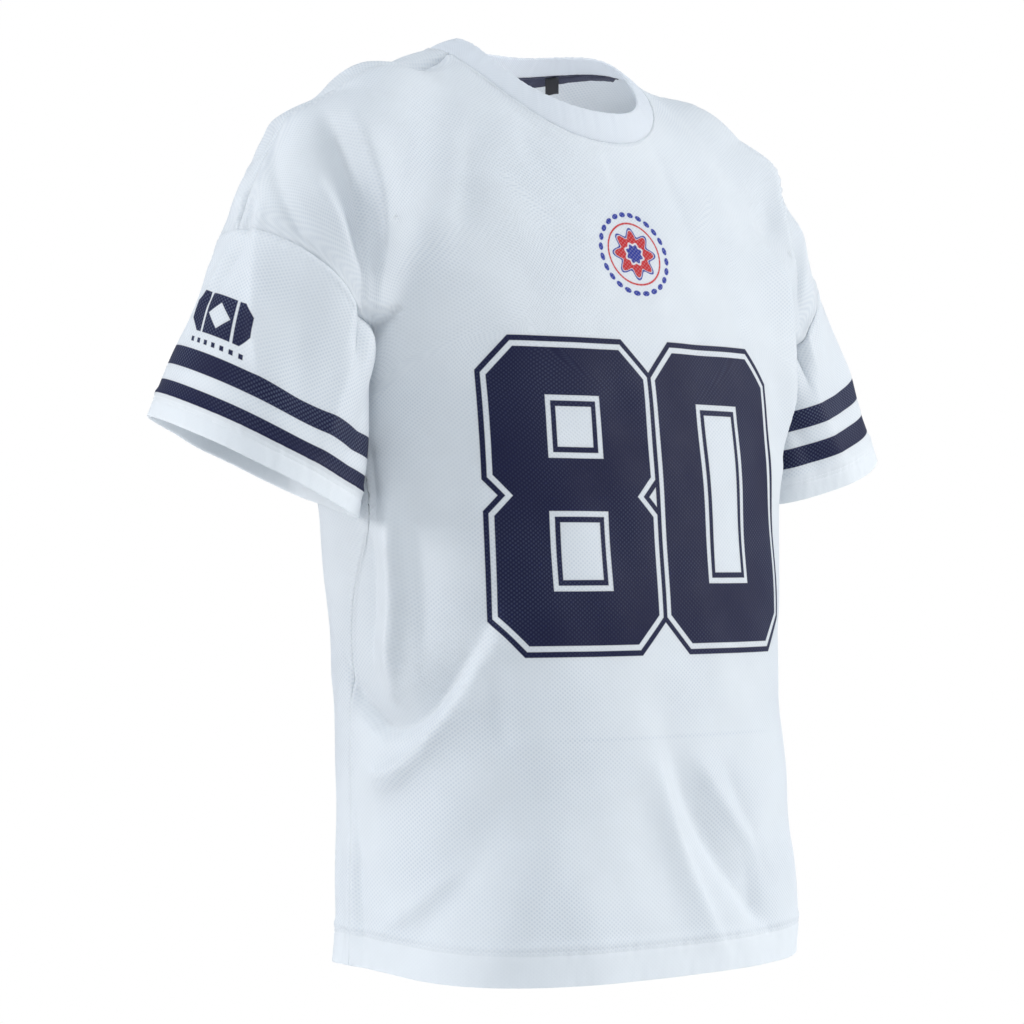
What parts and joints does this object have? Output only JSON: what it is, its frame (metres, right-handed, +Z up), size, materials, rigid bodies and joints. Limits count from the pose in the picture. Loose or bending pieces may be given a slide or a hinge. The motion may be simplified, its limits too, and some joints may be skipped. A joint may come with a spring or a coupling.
{
  "type": "oversized t-shirt",
  "caption": "Oversized short-sleeved sports t-shirt in mesh knit with dropped shoulders, round collar and striped sleeves, in its worn shape with nobody in it.",
  "frame": {"origin": "midway between the two points where the shoulder seams meet the neck, where the wearer's shoulders carry the garment", "axes": "+Z up, -Y out of the garment's front, +X to the wearer's left"},
  "size_m": [0.809, 0.3206, 0.8122],
  "materials": {
    "mesh_knit": "white polyester mesh knit with a soft sheen",
    "collar_knit": "white smooth knit, folded double",
    "navy_tape": "matt woven tape",
    "black_ribbon": "matt woven ribbon"
  },
  "bodies": {
    "root": {"front_panel": "mesh_knit", "back_panel": "mesh_knit", "sleeve_right": "mesh_knit", "sleeve_left": "mesh_knit", "collar": "collar_knit", "neck_tape": "navy_tape", "label_tab": "black_ribbon"}
  },
  "joints": []
}
